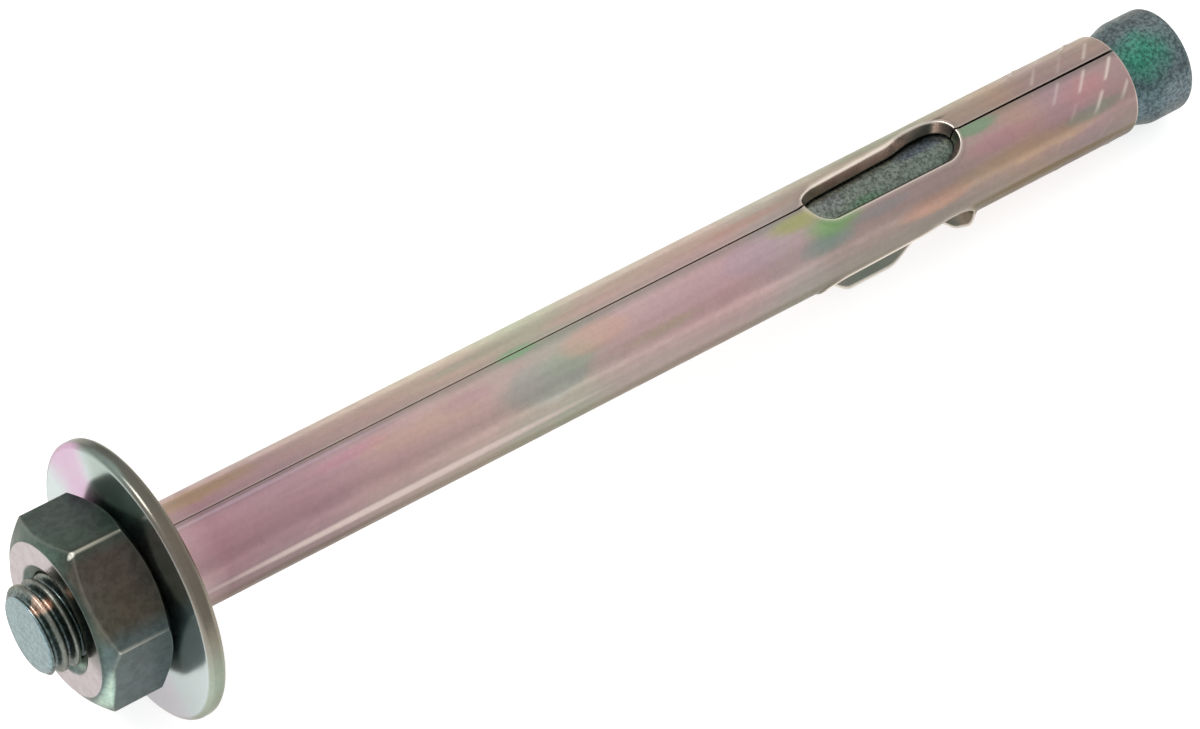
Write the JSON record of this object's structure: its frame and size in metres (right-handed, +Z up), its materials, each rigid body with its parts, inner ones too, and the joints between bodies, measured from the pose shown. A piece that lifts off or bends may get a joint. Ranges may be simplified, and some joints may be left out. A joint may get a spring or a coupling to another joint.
{
  "type": "sleeve anchor",
  "caption": "Zinc plated sleeve anchor: stud with flared expander cone, rolled split sleeve with side windows, wide flat washer and hexagon nut.",
  "frame": {"origin": "on the floor under the middle of the bounding box, the anchor lying on the rims of its washer and cone", "axes": "+X along the lying anchor from the nut to the cone, its axis falling about 3.9 degrees towards the cone; +Z up; -Y is the side seen in the picture"},
  "size_m": [0.1504, 0.031, 0.031],
  "materials": {
    "stud_steel": "yellow passivated zinc plate with a thin iridescent film, satin to bright, blue grey with green on the cone",
    "sleeve_steel": "yellow passivated zinc plate with a thin iridescent film, satin to bright, tan, rose and green along the length",
    "washer_steel": "yellow passivated zinc plate with a thin iridescent film, satin to bright, bright enough to mirror the nut",
    "nut_steel": "yellow passivated zinc plate with a thin iridescent film, satin to bright, dull on the flats"
  },
  "bodies": {
    "sleeve_and_washer": {"expansion_sleeve": "sleeve_steel", "flat_washer": "washer_steel"},
    "nut": {"hex_nut": "nut_steel"},
    "stud": {"expander_stud": "stud_steel"}
  },
  "joints": [
    {"name": "nut_turn", "type": "hinge", "parent": "sleeve_and_washer", "child": "nut", "pos_m": [-0.06736, 0, 0.01584], "axis": [-0.9977, 0, 0.0682], "range_deg": [0, 2448.01]},
    {"name": "stud_draw", "type": "slide", "parent": "sleeve_and_washer", "child": "stud", "axis": [0.9977, 0, -0.0682], "range_m": [0, 0.0102]}
  ],
  "couplings": [
    {"joint": "nut_turn", "follows": "stud_draw", "rad_per_m": 4188.8}
  ]
}
